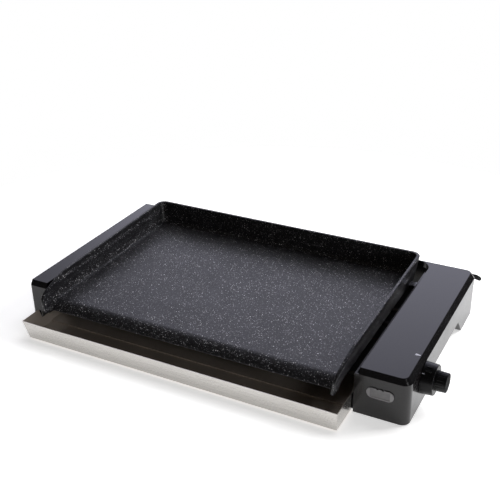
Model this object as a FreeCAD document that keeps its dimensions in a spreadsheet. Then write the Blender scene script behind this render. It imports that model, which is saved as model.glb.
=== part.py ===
import FreeCAD, Part
import math
import os
import Sketcher

# Electric griddle.  Millimetres, +Z up, +X to the user's right, -Y towards the user.
# The origin is on the table, at the middle of the object's footprint (cord left out).

# ---------------------------------------------------------------- driving dimensions
DIMENSIONS = {
    # base
    "base_width": 621.0, "base_depth": 330.0, "knob_reach": 33.0, "tray_reach": 48.0,
    "seam_height": 63.3, "top_height": 72.0, "ground_gap": 1.0, "wall": 2.5,
    "left_width": 33.3, "control_width": 76.0, "cover_width": 70.2, "rear_strip": 5.1,
    "well_corner": 22.5, "corner_right": 12.0, "corner_left": 5.0,
    # cover edge: its outer faces lean in, most on the right, and its walls are thicker there
    "edge_lean": 3.3, "side_lean": 6.1, "edge_round": 1.2, "inner_round": 0.8,
    "cover_wall": 4.5, "cover_side_wall": 7.0,
    # side arches and the tray's way through the left end
    "deck_height": 28.4, "arch_front": 90.0, "arch_back": 261.0, "arch_slope": 22.5,
    "leg_width": 11.0, "channel_height": 20.0,
    # feet, posts and screws
    "foot_radius": 7.0, "small_foot_radius": 4.0, "foot_seat": 3.0, "post_radius": 4.0,
    "pilot_radius": 1.2, "pilot_depth": 18.0, "clear_radius": 1.8,
    # rear panel
    "panel_bottom": 4.0, "slot_start": 60.0, "slot_width": 24.0, "slot_bottom": 40.0,
    "slot_height": 4.0,
    # griddle plate
    "plate_left": -283.0, "plate_right": 209.0, "plate_back": 176.0,
    "rim_height": 92.0, "rim_front": 86.5, "rim_width": 5.0, "draft": 8.0,
    "floor_height": 54.0, "floor_thick": 4.5, "lip_radius": 27.0, "lip_turn": 53.0,
    "plate_corner": 14.0, "floor_round": 7.0, "nose_reach": 33.0, "nose_radius": 15.0,
    "nose_bottom": 41.5,
    # drip tray
    "tray_left": -295.5, "tray_right": 214.8, "tray_flare": 11.7, "tray_length": 300.0,
    "tray_height": 26.1, "tray_lift": 1.9, "tray_sheet": 1.0, "tray_step_y": 52.0,
    "tray_step": 1.5, "tray_low_side": 14.0, "tray_notch_y": 38.0,
    "rail_height": 0.6, "rail_sheet": 1.0, "rail_length": 310.0, "rail_foot": 12.0,
    # plate support
    "bar_height": 31.0, "bar_thick": 3.0, "bar_width": 14.0, "bar_front_y": -104.0,
    "bar_back_y": 140.0, "bar_tab": 14.0, "bar_tab_thick": 2.0, "reflector_sheet": 1.0,
    "reflector_wall": 6.0, "reflector_inset": 10.0, "reflector_over": 4.0,
    "support_radius": 5.0, "support_inset": 55.0,
    "locator_y": 122.0, "locator_width": 12.0, "locator_height": 63.0, "locator_sheet": 1.5,
    "locator_drop": 14.0, "locator_overlap": 2.4,
    # heating element
    "tube_radius": 3.3, "tube_height": 45.9, "tube_bend": 20.0, "exit_bend": 12.0,
    "tube_reach": 25.0, "return_gap": 45.0, "bush_radius": 6.0, "bush_length": 10.0,
    "terminal_radius": 1.5, "terminal_length": 10.0, "cradle_width": 8.0, "cradle_depth": 14.0,
    # control knob and thermostat
    "knob_y": -79.4, "knob_z": 41.5, "knob_gap": 0.8, "skirt_radius": 22.5, "skirt_depth": 17.0,
    "grip_radius": 14.0, "hub_radius": 5.5, "hub_depth": 9.0, "flute_radius": 1.5, "shaft_radius": 3.0,
    "shaft_fit": 0.05, "stat_depth": 22.0, "stat_nose": 3.0, "shaft_hole": 3.6, "bulb_radius": 2.8,
    "bulb_length": 60.0, "capillary_radius": 0.8, "capillary_hole": 2.5,
    # indicator
    "lens_x": 254.8, "lens_z": 41.0, "lens_width": 37.8, "lens_high": 15.8, "lens_proud": 1.6,
    "lens_rim": 2.4, "notch_width": 2.6, "notch_depth": 1.5, "lamp_spacing": 7.6, "lamp_radius": 2.5,
    "lamp_rise": 3.0, "holder_width": 30.0, "holder_depth": 11.0,
    # terminal block and wires
    "block_x": 246.0, "block_y": 108.0, "block_width": 34.0, "block_depth": 22.0, "block_height": 13.0,
    "well_pitch": 11.0, "well_radius": 3.0, "well_depth": 6.0, "wire_radius": 1.1,
    # screws
    "screw_head": 3.0, "screw_shank": 1.2, "screw_length": 16.0,
    "bolt_head": 3.4, "bolt_shank": 1.6, "bolt_length": 4.5, "head_height": 2.0,
    # cord
    "cord_radius": 3.4, "exit_x": 276.0, "exit_z": 38.0, "relief_length": 21.0,
    "coil_x": 110.0, "coil_y": 252.0, "coil_radius": 37.0, "plug_radius": 18.5, "plug_length": 36.0,
    "pin_length": 19.0, "pin_radius": 2.4, "pin_offset": 9.5,
}

doc = FreeCAD.newDocument("electric_griddle")
sheet = doc.addObject("Spreadsheet::Sheet", "Dim")
for row, (alias, value) in enumerate(DIMENSIONS.items(), start=1):
    sheet.set(f"A{row}", alias)
    sheet.set(f"B{row}", str(value))
    sheet.setAlias(f"B{row}", alias)
doc.recompute()

# Expressions shared by many sub-parts
X_LEFT = "(-(Dim.base_width + Dim.knob_reach) / 2)"
X_RIGHT = f"({X_LEFT} + Dim.base_width)"
Y_FRONT = "((Dim.tray_reach - Dim.base_depth) / 2)"
Y_BACK = f"({Y_FRONT} + Dim.base_depth)"
WELL_LEFT = f"({X_LEFT} + Dim.left_width)"
WELL_RIGHT = f"({X_RIGHT} - Dim.control_width)"
SHELL_HEIGHT = "(Dim.seam_height - Dim.ground_gap)"
DECK_TOP = "(Dim.deck_height + Dim.wall)"
PLATE_UNDER = "(Dim.floor_height - Dim.floor_thick)"
REFLECTOR_TOP = "(Dim.bar_height + Dim.bar_thick + Dim.reflector_sheet)"
TRAY_FRONT = f"({Y_FRONT} - Dim.tray_reach)"

VECTOR = FreeCAD.Vector
UP, ALONG_X, ALONG_Y = VECTOR(0, 0, 1), VECTOR(1, 0, 0), VECTOR(0, 1, 0)
pieces = []


def dim(alias):
    """The number in one cell of the sheet."""
    return float(sheet.get(alias))


# ---------------------------------------------------------------- helpers
def keep(item, label):
    """Name a finished sub-part and list it for export."""
    item.Label = label
    pieces.append(item)
    return item


def place(item, x="0", y="0", z="0"):
    for axis, expression in zip("xyz", (x, y, z)):
        item.setExpression(f"Placement.Base.{axis}", expression)
    return item


def turn(item, axis, angle):
    item.Placement = FreeCAD.Placement(VECTOR(0, 0, 0), FreeCAD.Rotation(axis, angle))
    return item


def box(name, x, y, z):
    """A box between two expressions along each axis."""
    item = doc.addObject("Part::Box", name)
    for size, (low, high) in zip(("Length", "Width", "Height"), (x, y, z)):
        item.setExpression(size, f"({high}) - ({low})")
    return place(item, x[0], y[0], z[0])


def cylinder(name, axis, base, radius, length):
    """A cylinder from base along an axis."""
    item = doc.addObject("Part::Cylinder", name)
    if axis == ALONG_X:
        turn(item, ALONG_Y, 90)
    elif axis == ALONG_Y:
        turn(item, ALONG_X, -90)
    item.setExpression("Radius", radius)
    item.setExpression("Height", length)
    return place(item, *base)


def fuse(name, items):
    item = doc.addObject("Part::MultiFuse", name)
    item.Shapes = items
    return item


def cut(name, base, tool):
    item = doc.addObject("Part::Cut", name)
    item.Base = base
    item.Tool = tool
    return item


def group(label, items):
    """Identical small parts as separate solids of one node."""
    item = doc.addObject("Part::Compound", label)
    item.Links = items
    return keep(item, label)


def body(label, x="0", y="0", z="0"):
    item = doc.addObject("PartDesign::Body", label)
    place(item, x, y, z)
    return keep(item, label)


def origin_feature(owner, role):
    return [item for item in owner.Origin.OriginFeatures if item.Role == role][0]


def sketch(owner, plane, offset="0"):
    item = owner.newObject("Sketcher::SketchObject", f"{owner.Label}_outline")
    item.AttachmentSupport = [(origin_feature(owner, plane), "")]
    item.MapMode = "FlatFace"
    item.setExpression("AttachmentOffset.Base.z", offset)
    return item


def pin(outline, geometry, point, x, y):
    """Hold a sketch point at two expressions from the sketch's origin."""
    for kind, expression in (("DistanceX", x), ("DistanceY", y)):
        index = outline.addConstraint(Sketcher.Constraint(kind, -1, 1, geometry, point, 1.0))
        outline.setExpression(f"Constraints[{index}]", expression)


def polygon(outline, points):
    """A closed outline through points given as pairs of expressions."""
    count = len(points)
    start = [VECTOR(100 * math.cos(2 * math.pi * i / count), 100 * math.sin(2 * math.pi * i / count), 0)
             for i in range(count)]
    first = outline.GeometryCount
    for i in range(count):
        outline.addGeometry(Part.LineSegment(start[i], start[(i + 1) % count]))
    for i in range(count):
        outline.addConstraint(Sketcher.Constraint("Coincident", first + i, 2, first + (i + 1) % count, 1))
    for i, (x, y) in enumerate(points):
        pin(outline, first + i, 1, x, y)
    return outline


def rectangle(outline, x_low, y_low, x_high, y_high):
    return polygon(outline, [(x_low, y_low), (x_high, y_low), (x_high, y_high), (x_low, y_high)])


def circles(outline, centres, radius):
    for order, (x, y) in enumerate(centres):
        index = outline.addGeometry(Part.Circle(VECTOR(5.0 * order, 0, 0), UP, 1.0))
        pin(outline, index, 3, x, y)
        size = outline.addConstraint(Sketcher.Constraint("Radius", index, 1.0))
        outline.setExpression(f"Constraints[{size}]", radius)
    return outline


def pad(owner, outline, length, reverse=False):
    item = owner.newObject("PartDesign::Pad", f"{owner.Label}_pad")
    item.Profile = outline
    item.Reversed = reverse
    item.setExpression("Length", length)
    return item


def pocket(owner, outline, depth, reverse=False):
    """Cut a prism out of the body, and check that it takes something away."""
    doc.recompute()
    before = owner.Shape.Volume
    item = owner.newObject("PartDesign::Pocket", f"{owner.Label}_pocket")
    item.Profile = outline
    item.Reversed = reverse
    item.setExpression("Length", depth)
    doc.recompute()
    if owner.Shape.Volume > before - 1.0:
        raise RuntimeError(f"a pocket of {owner.Label} cuts nothing")
    return item


def fillet(owner, radius, chosen):
    """Round the edges of the body's tip that chosen() picks."""
    doc.recompute()
    base = owner.Tip
    names = [f"Edge{i}" for i, edge in enumerate(base.Shape.Edges, start=1) if chosen(edge)]
    if not names:
        raise RuntimeError(f"a fillet of {owner.Label} finds no edge")
    item = owner.newObject("PartDesign::Fillet", f"{owner.Label}_fillet")
    item.Base = (base, names)
    item.setExpression("Radius", radius)
    doc.recompute()
    if "Up-to-date" not in item.State:
        raise RuntimeError(f"a fillet of {owner.Label} fails")
    return item


def is_line_along(edge, axis):
    ends = [v.Point for v in edge.Vertexes]
    return len(ends) == 2 and abs((ends[1] - ends[0]).normalize().dot(axis)) > 0.999


def at(edge, axis, value, slack=0.05):
    """True where the whole edge lies at one coordinate."""
    box_ = edge.BoundBox
    low, high = {"x": (box_.XMin, box_.XMax), "y": (box_.YMin, box_.YMax),
                 "z": (box_.ZMin, box_.ZMax)}[axis]
    return abs(low - value) < slack and abs(high - value) < slack


def rounded_wire(points, radii, closed=False):
    """Straight runs joined by tangent arcs; radii has one radius for each corner."""
    count = len(points)
    corners = range(count) if closed else range(1, count - 1)
    trims = {}
    for i in corners:
        here, before, after = points[i], points[i - 1], points[(i + 1) % count]
        back, ahead = (before - here).normalize(), (after - here).normalize()
        angle = math.pi - back.getAngle(ahead)
        reach = radii[i] * math.tan(angle / 2)
        middle = here + (back + ahead).normalize() * (radii[i] / math.cos(angle / 2) - radii[i])
        trims[i] = (here + back * reach, middle, here + ahead * reach)
    edges = []
    for i in range(count if closed else count - 1):
        following = (i + 1) % count
        begin = trims[i][2] if i in trims else points[i]
        end = trims[following][0] if following in trims else points[following]
        edges.append(Part.LineSegment(begin, end).toShape())
        if following in trims:
            edges.append(Part.Arc(*trims[following]).toShape())
    return Part.Wire(edges)


def rounded_rectangle(x_low, y_low, x_high, y_high, z, radii):
    """A level rectangle with a radius for each corner, from the low corner anticlockwise."""
    points = [VECTOR(x_low, y_low, z), VECTOR(x_high, y_low, z), VECTOR(x_high, y_high, z),
              VECTOR(x_low, y_high, z)]
    return rounded_wire(points, radii, closed=True)


def tube(points, radius, radii):
    """A round tube along a rounded route, with its volume checked against its length."""
    spine = rounded_wire(points, radii)
    heading = (points[1] - points[0]).normalize()
    section = Part.Wire(Part.makeCircle(radius, points[0], heading))
    solid = spine.makePipeShell([section], True, False)
    expected = math.pi * radius ** 2 * spine.Length
    if abs(solid.Volume - expected) > 0.01 * expected:
        raise RuntimeError("a tube's volume doesn't match its length")
    return solid, spine.Length


def shape(label, solid, x="0", y="0", z="0"):
    """A sub-part whose solid is made here from the sheet's numbers."""
    item = doc.addObject("Part::Feature", label)
    item.Shape = solid
    place(item, x, y, z)
    return keep(item, label)


# ---------------------------------------------------------------- base shells
def arch(owner, depth):
    """The arch in the side that leaves a front and a rear foot, cut from local x = 0."""
    outline = sketch(owner, "YZ_Plane")
    height = "Dim.deck_height - Dim.ground_gap"
    polygon(outline, [("Dim.arch_front", "-1"),
                      ("Dim.arch_front", "0"),
                      ("Dim.arch_front + Dim.arch_slope", height),
                      ("Dim.arch_back - Dim.arch_slope", height),
                      ("Dim.arch_back", "0"),
                      ("Dim.arch_back", "-1")])
    return pocket(owner, outline, depth, reverse=True)


def make_control_housing():
    shell = body("control_housing", WELL_RIGHT, Y_FRONT, "Dim.ground_gap")
    outline = rectangle(sketch(shell, "XY_Plane"), "0", "0", "Dim.control_width", "Dim.base_depth")
    pad(shell, outline, SHELL_HEIGHT)
    cavity = rectangle(sketch(shell, "XY_Plane", SHELL_HEIGHT), "Dim.wall", "Dim.wall",
                       "Dim.control_width - Dim.wall", "Dim.base_depth - Dim.wall")
    pocket(shell, cavity, f"Dim.seam_height - {DECK_TOP}")
    # hollow feet, open below
    foot = "(Dim.deck_height - Dim.ground_gap)"
    front = rectangle(sketch(shell, "XY_Plane"), "Dim.wall", "Dim.wall",
                      "Dim.control_width - Dim.wall", "Dim.arch_front - Dim.wall * 2")
    pocket(shell, front, foot, reverse=True)
    back = rectangle(sketch(shell, "XY_Plane"), "Dim.wall", "Dim.arch_back + Dim.wall * 2",
                     "Dim.control_width - Dim.wall", "Dim.base_depth - Dim.wall")
    pocket(shell, back, foot, reverse=True)
    width, depth, inner = dim("control_width"), dim("base_depth"), dim("wall")
    fillet(shell, "Dim.corner_right - Dim.wall",
           lambda edge: is_line_along(edge, UP) and at(edge, "x", width - inner)
           and (at(edge, "y", inner) or at(edge, "y", depth - inner)))
    fillet(shell, "Dim.corner_right", lambda edge: is_line_along(edge, UP) and at(edge, "x", width))
    arch(shell, "Dim.control_width + 1")
    # posts that hold the rubber feet
    posts = circles(sketch(shell, "XY_Plane", foot), RIGHT_FEET, "Dim.foot_radius")
    pad(shell, posts, "Dim.deck_height - Dim.ground_gap - Dim.foot_seat", reverse=True)
    # lamp window, shaft hole, cord hole, element and capillary holes
    window = rectangle(sketch(shell, "XZ_Plane"),
                       f"Dim.lens_x - {WELL_RIGHT} - Dim.lens_width / 2 + Dim.lens_rim",
                       "Dim.lens_z - Dim.ground_gap - Dim.lens_high / 2 + Dim.lens_rim",
                       f"Dim.lens_x - {WELL_RIGHT} + Dim.lens_width / 2 - Dim.lens_rim",
                       "Dim.lens_z - Dim.ground_gap + Dim.lens_high / 2 - Dim.lens_rim")
    pocket(shell, window, "Dim.wall + 1")
    shaft_hole = circles(sketch(shell, "YZ_Plane", "Dim.control_width"),
                         [(f"Dim.knob_y - {Y_FRONT}", "Dim.knob_z - Dim.ground_gap")], "Dim.shaft_hole")
    pocket(shell, shaft_hole, "Dim.wall + 1")
    cord_hole = circles(sketch(shell, "XZ_Plane", "-Dim.base_depth"),
                        [(f"Dim.exit_x - {WELL_RIGHT}", "Dim.exit_z - Dim.ground_gap")],
                        "Dim.cord_radius + 1.6")
    pocket(shell, cord_hole, "Dim.wall + 1", reverse=True)
    bush_holes = circles(sketch(shell, "YZ_Plane"),
                         [(f"{y} - {Y_FRONT}", "Dim.tube_height - Dim.ground_gap") for y in ELEMENT_EXITS],
                         "Dim.bush_radius")
    pocket(shell, bush_holes, "Dim.wall + 1", reverse=True)
    bulb_hole = circles(sketch(shell, "YZ_Plane"),
                        [(f"{CAPILLARY_Y} - {Y_FRONT}", f"{CAPILLARY_Z} - Dim.ground_gap")],
                        "Dim.capillary_hole")
    pocket(shell, bulb_hole, "Dim.wall + 1", reverse=True)
    screw_holes = circles(sketch(shell, "XY_Plane", f"{DECK_TOP} - Dim.ground_gap"), RIGHT_POSTS,
                          "Dim.clear_radius")
    pocket(shell, screw_holes, "Dim.wall + 1")


def make_left_housing():
    shell = body("left_housing", X_LEFT, Y_FRONT, "Dim.ground_gap")
    outline = rectangle(sketch(shell, "XY_Plane"), "0", "0", "Dim.left_width", "Dim.base_depth")
    pad(shell, outline, SHELL_HEIGHT)
    fillet(shell, "Dim.corner_left", lambda edge: is_line_along(edge, UP) and at(edge, "x", 0))
    cavity = rectangle(sketch(shell, "XY_Plane", SHELL_HEIGHT), "Dim.wall", "Dim.wall",
                       "Dim.left_width - Dim.wall", "Dim.base_depth - Dim.wall")
    pocket(shell, cavity, f"Dim.seam_height - {DECK_TOP}")
    inner = dim("wall")
    fillet(shell, "Dim.corner_left - Dim.wall",
           lambda edge: is_line_along(edge, UP) and at(edge, "x", inner))
    # the space over the tray's low side: a skirt is left at the front, the back and the inner side
    hollow = rectangle(sketch(shell, "XY_Plane"), "Dim.leg_width", "Dim.wall",
                       "Dim.left_width - Dim.wall", "Dim.base_depth - Dim.wall")
    pocket(shell, hollow, "Dim.deck_height - Dim.ground_gap", reverse=True)
    channel = rectangle(sketch(shell, "XZ_Plane"), "Dim.leg_width", "-1",
                        "Dim.left_width + 1", "Dim.channel_height - Dim.ground_gap")
    pocket(shell, channel, "Dim.base_depth")
    arch(shell, "Dim.leg_width")
    recesses = circles(sketch(shell, "XY_Plane"), LEFT_FEET, "Dim.small_foot_radius")
    pocket(shell, recesses, "Dim.foot_seat", reverse=True)
    screw_holes = circles(sketch(shell, "XY_Plane", f"{DECK_TOP} - Dim.ground_gap"), LEFT_POSTS,
                          "Dim.clear_radius")
    pocket(shell, screw_holes, "Dim.wall + 1")


def make_top_frame():
    """One gloss moulding with leaning outer faces: left and rear strips, right cover, posts below."""
    width, depth = dim("base_width"), dim("base_depth")
    height = dim("top_height") - dim("seam_height")
    lean, left, right = dim("edge_lean"), dim("corner_left"), dim("corner_right")
    lower = rounded_rectangle(0, 0, width, depth, 0, [left, right, right, left])
    upper = rounded_rectangle(lean, lean, width - dim("side_lean"), depth - lean, height,
                              [left - lean, right - lean, right - lean, left - lean])
    frame = Part.makeLoft([lower, upper], True, True)

    # the well is open at the front
    strip_x, cover_x = dim("left_width"), width - dim("cover_width")
    well_back = depth - dim("rear_strip")
    corner = dim("well_corner")
    well = rounded_rectangle(strip_x, -3 * corner, cover_x, well_back, -1, [1, 1, corner, corner])
    frame = frame.cut(Part.Face(well).extrude(UP * (height + 2)))

    def in_well(edge):
        middle = edge.valueAt((edge.FirstParameter + edge.LastParameter) / 2)
        return strip_x - 0.1 < middle.x < cover_x + 0.1 and middle.y < well_back + 0.1

    outer = [edge for edge in frame.Edges if at(edge, "z", height) and not in_well(edge)]
    frame = frame.makeFillet(dim("edge_round"), outer)
    inner = [edge for edge in frame.Edges if at(edge, "z", height) and in_well(edge)]
    frame = frame.makeFillet(dim("inner_round"), inner)

    # hollow underneath, with screw posts down to the shells' decks
    wall, thick = dim("wall"), dim("cover_wall")
    skin = height - wall
    for x_low, x_high in ((thick, strip_x - wall), (cover_x + wall, width - dim("cover_side_wall"))):
        cavity = rounded_rectangle(x_low, thick, x_high, depth - thick, 0, [wall] * 4)
        frame = frame.cut(Part.Face(cavity).extrude(UP * skin))
    drop = dim("seam_height") - dim("deck_height") - wall
    shift = width - dim("control_width")
    centres = [(float(x), float(y)) for x, y in LEFT_POSTS]
    centres += [(shift + float(x), float(y)) for x, y in RIGHT_POSTS]
    for x, y in centres:
        foot = VECTOR(x, y, -drop)
        frame = frame.fuse(Part.makeCylinder(dim("post_radius"), drop + skin + wall / 2, foot))
        frame = frame.cut(Part.makeCylinder(dim("pilot_radius"), dim("pilot_depth"), foot))
    shape("top_frame", frame.removeSplitter(), X_LEFT, Y_FRONT, "Dim.seam_height")


def make_rear_panel():
    """Closes the back of the well, with a row of air slots."""
    panel = body("rear_panel", WELL_LEFT, f"{Y_BACK} - Dim.wall", "0")
    width = f"({WELL_RIGHT} - {WELL_LEFT})"
    outline = rectangle(sketch(panel, "XZ_Plane"), "0", "Dim.panel_bottom", width, "Dim.seam_height")
    pad(panel, outline, "Dim.wall", reverse=True)
    slot = rectangle(sketch(panel, "XZ_Plane"), "Dim.slot_start", "Dim.slot_bottom",
                     "Dim.slot_start + Dim.slot_width", "Dim.slot_bottom + Dim.slot_height")
    first = pocket(panel, slot, "Dim.wall")
    pattern = panel.newObject("PartDesign::LinearPattern", "rear_panel_slots")
    pattern.Originals = [first]
    pattern.Direction = (origin_feature(panel, "X_Axis"), [""])
    pattern.setExpression("Length", f"{width} - Dim.slot_start * 2 - Dim.slot_width")
    pattern.Occurrences = 10
    panel.Tip = pattern


# ---------------------------------------------------------------- under the plate
def make_crossbar(label, y):
    """A flat bar across the well with an upturned tab at each end."""
    bar = body(label, WELL_LEFT, y, "Dim.bar_height")
    span = f"({WELL_RIGHT} - {WELL_LEFT})"
    low, high = "Dim.bar_thick", "Dim.bar_tab"
    near, far = "Dim.bar_tab_thick", f"{span} - Dim.bar_tab_thick"
    outline = polygon(sketch(bar, "XZ_Plane"),
                      [("0", "0"), (span, "0"), (span, high), (far, high), (far, low), (near, low),
                       (near, high), ("0", high)])
    pad(bar, outline, "Dim.bar_width", reverse=True)


def make_reflector():
    """Shallow steel pan that sends the element's heat up."""
    pan = body("heat_reflector", f"{WELL_LEFT} + Dim.reflector_inset",
               "Dim.bar_front_y - Dim.reflector_over", "Dim.bar_height + Dim.bar_thick")
    width = f"({WELL_RIGHT} - {WELL_LEFT} - Dim.reflector_inset * 2)"
    depth = "(Dim.bar_back_y + Dim.bar_width - Dim.bar_front_y + Dim.reflector_over * 2)"
    height = "(Dim.reflector_wall + Dim.reflector_sheet)"
    pad(pan, rectangle(sketch(pan, "XY_Plane"), "0", "0", width, depth), height)
    inside = rectangle(sketch(pan, "XY_Plane", height), "Dim.reflector_sheet", "Dim.reflector_sheet",
                       f"{width} - Dim.reflector_sheet", f"{depth} - Dim.reflector_sheet")
    pocket(pan, inside, "Dim.reflector_wall")


ELEMENT_EXITS = ("20", "60")
ELEMENT_ROWS = (-85, -10, 52, 126)
CRADLE_COLUMNS = (-200, -50, 100)
CAPILLARY_Y, CAPILLARY_Z = "-20", "42.5"
BULB_X, BULB_Y, BULB_Z = "40", "22", "46.4"


def make_element():
    """Tubular heater bent into three runs, its two ends inside the control box."""
    end_x = dim("plate_right") + dim("tube_reach")
    right, left = dim("plate_right") - 20, dim("plate_left") + 40
    return_x = right - dim("return_gap")
    exit_front, exit_back = (float(y) for y in ELEMENT_EXITS)
    front, near, far, back = ELEMENT_ROWS
    plan = [(end_x, exit_front), (right, exit_front), (right, front), (left, front), (left, near),
            (return_x, near), (return_x, far), (left, far), (left, back), (right, back),
            (right, exit_back), (end_x, exit_back)]
    points = [VECTOR(x, y, dim("tube_height")) for x, y in plan]
    radii = [dim("tube_bend")] * len(points)
    radii[1] = radii[-2] = dim("exit_bend")
    shape("heating_element", tube(points, dim("tube_radius"), radii)[0])
    cradles = []
    for x in CRADLE_COLUMNS:
        for y in ELEMENT_ROWS:
            name = f"cradle_{len(cradles)}"
            block = box(name + "_block", (f"{x} - Dim.cradle_width / 2", f"{x} + Dim.cradle_width / 2"),
                        (f"{y} - Dim.cradle_depth / 2", f"{y} + Dim.cradle_depth / 2"),
                        (REFLECTOR_TOP, "Dim.tube_height"))
            groove = cylinder(name + "_groove", ALONG_X,
                              (f"{x} - Dim.cradle_width", str(y), "Dim.tube_height"),
                              "Dim.tube_radius", "Dim.cradle_width * 2")
            cradles.append(cut(name, block, groove))
    group("element_cradles", cradles)
    bushes, pins = [], []
    for index, y in enumerate(ELEMENT_EXITS):
        start = f"{WELL_RIGHT} - Dim.bush_length / 2 + 1"
        ring = cylinder(f"bush_{index}_ring", ALONG_X, (start, y, "Dim.tube_height"),
                        "Dim.bush_radius", "Dim.bush_length")
        bore = cylinder(f"bush_{index}_bore", ALONG_X, (f"{start} - 1", y, "Dim.tube_height"),
                        "Dim.tube_radius", "Dim.bush_length + 2")
        bushes.append(cut(f"bush_{index}", ring, bore))
        pins.append(cylinder(f"terminal_{index}", ALONG_X,
                             ("Dim.plate_right + Dim.tube_reach", y, "Dim.tube_height"),
                             "Dim.terminal_radius", "Dim.terminal_length"))
    group("element_bushes", bushes)
    group("element_terminals", pins)


def make_supports():
    posts, tabs = [], []
    middle_front = "(Dim.bar_front_y + Dim.bar_width / 2)"
    middle_back = "(Dim.bar_back_y + Dim.bar_width / 2)"
    for x in ("(Dim.plate_left + Dim.support_inset)", "(Dim.plate_right - Dim.support_inset)"):
        for y in (middle_front, middle_back):
            posts.append(cylinder(f"post_{len(posts)}", UP, (x, y, REFLECTOR_TOP), "Dim.support_radius",
                                  f"{PLATE_UNDER} - {REFLECTOR_TOP}"))
    group("plate_supports", posts)
    # a bent tab on each shell's inner wall keeps the plate from shifting
    row = ("Dim.locator_y - Dim.locator_width / 2", "Dim.locator_y + Dim.locator_width / 2")
    level = ("Dim.locator_height - Dim.locator_sheet", "Dim.locator_height")
    drop = ("Dim.locator_height - Dim.locator_drop", "Dim.locator_height")
    for side, span, stem in (
            ("right", ("Dim.plate_right - Dim.locator_overlap", WELL_RIGHT),
             (f"{WELL_RIGHT} - Dim.locator_sheet", WELL_RIGHT)),
            ("left", (WELL_LEFT, "Dim.plate_left + Dim.locator_overlap"),
             (WELL_LEFT, f"{WELL_LEFT} + Dim.locator_sheet"))):
        tabs.append(fuse(f"tab_{side}", [box(f"tab_{side}_flange", span, row, level),
                                         box(f"tab_{side}_upright", stem, row, drop)]))
    group("plate_locators", tabs)


# ---------------------------------------------------------------- griddle plate
def drafted_block(x_low, y_low, x_high, y_high, z_low, z_high, corner):
    """A block whose sides lean outwards to the given size at z_high."""
    lean = (z_high - z_low) * math.tan(math.radians(dim("draft")))
    radii = [2, 2, corner, corner]
    lower = rounded_rectangle(x_low + lean, y_low + lean, x_high - lean, y_high - lean, z_low, radii)
    upper = rounded_rectangle(x_low, y_low, x_high, y_high, z_high, radii)
    return Part.makeLoft([lower, upper], True, True)


def extrude_profile(wire, x_low, x_high):
    """Sweep an outline in the YZ plane from x_low to x_high."""
    face = Part.Face(wire)
    face.translate(VECTOR(x_low, 0, 0))
    return face.extrude(VECTOR(x_high - x_low, 0, 0))


def make_plate():
    """Cast plate: level floor, three leaning walls, open front with a rolled lip."""
    x_low, x_high, y_high = dim("plate_left"), dim("plate_right"), dim("plate_back")
    rim, floor, thick = dim("rim_height"), dim("floor_height"), dim("floor_thick")
    front = (dim("tray_reach") - dim("base_depth")) / 2
    nose_y = front - dim("nose_reach")
    nose_z, nose_radius = dim("nose_bottom"), dim("nose_radius")
    radius, bend = dim("lip_radius"), math.radians(dim("lip_turn"))
    bottom = floor - thick
    lip_y = front + 2
    far = y_high + 40

    def lip_point(distance, angle):
        """A point at a distance from the lip's centre line, an angle past the floor's edge."""
        return VECTOR(0, lip_y - distance * math.sin(angle), floor - radius + distance * math.cos(angle))

    tip, tip_under = lip_point(radius, bend), lip_point(radius - thick, bend)
    edge, edge_under = lip_point(radius, 0), lip_point(radius - thick, 0)
    middle, middle_under = lip_point(radius, bend / 2), lip_point(radius - thick, bend / 2)

    # side view: rim line, ramp, round nose, and the underside with the lip's curve
    crest = dim("rim_front")
    rim_points = [VECTOR(0, far, rim), VECTOR(0, front + 32, crest), VECTOR(0, front + 5, crest - 5.5),
                  VECTOR(0, front - 16, crest - 11.5), VECTOR(0, nose_y, crest - 19),
                  VECTOR(0, nose_y + 1, nose_z), VECTOR(0, tip_under.y, nose_z)]
    upper_line = rounded_wire(rim_points, [0, 45, 45, 30, nose_radius, 3, 0])
    underside = [Part.LineSegment(rim_points[-1], tip_under).toShape(),
                 Part.Arc(tip_under, middle_under, edge_under).toShape(),
                 Part.LineSegment(edge_under, VECTOR(0, far, bottom)).toShape(),
                 Part.LineSegment(VECTOR(0, far, bottom), VECTOR(0, far, rim)).toShape()]
    side_view = Part.Wire(upper_line.Edges + underside)
    outer = drafted_block(x_low, front - 90, x_high, y_high, 30, rim, dim("plate_corner"))
    plate = outer.common(extrude_profile(side_view, x_low - 5, x_high + 5))

    # the open space inside: leaning sides, level floor, and the lip's curve at the front
    width = dim("rim_width")
    lean = 10 * math.tan(math.radians(dim("draft")))
    space = drafted_block(x_low + width - lean, front - 120, x_high - width + lean, y_high - width + lean,
                          20, rim + 10, dim("plate_corner") - width + 3)
    ahead = VECTOR(0, tip.y - 40 * math.cos(bend), tip.z - 40 * math.sin(bend))
    above, beyond = VECTOR(0, ahead.y, rim + 10), VECTOR(0, far, rim + 10)
    over = Part.Wire([Part.LineSegment(VECTOR(0, far, floor), edge).toShape(),
                      Part.Arc(edge, middle, tip).toShape(),
                      Part.LineSegment(tip, ahead).toShape(),
                      Part.LineSegment(ahead, above).toShape(),
                      Part.LineSegment(above, beyond).toShape(),
                      Part.LineSegment(beyond, VECTOR(0, far, floor)).toShape()])
    space = space.common(extrude_profile(over, x_low - 5, x_high + 5))

    def meets_floor(item):
        bounds = item.BoundBox
        level = bounds.ZMax < floor + 0.1 and bounds.ZMin > tip.z - 0.5
        across_front = bounds.YLength < 0.1 and item.CenterOfMass.y < lip_y + 1
        return level and item.Length > 3 and not across_front

    space = space.makeFillet(dim("floor_round"), [item for item in space.Edges if meets_floor(item)])
    plate = plate.cut(space)
    rims = [item for item in plate.Edges if is_rim(item, floor)]
    plate = plate.makeFillet(1.6, rims)
    return shape("griddle_plate", plate)


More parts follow.
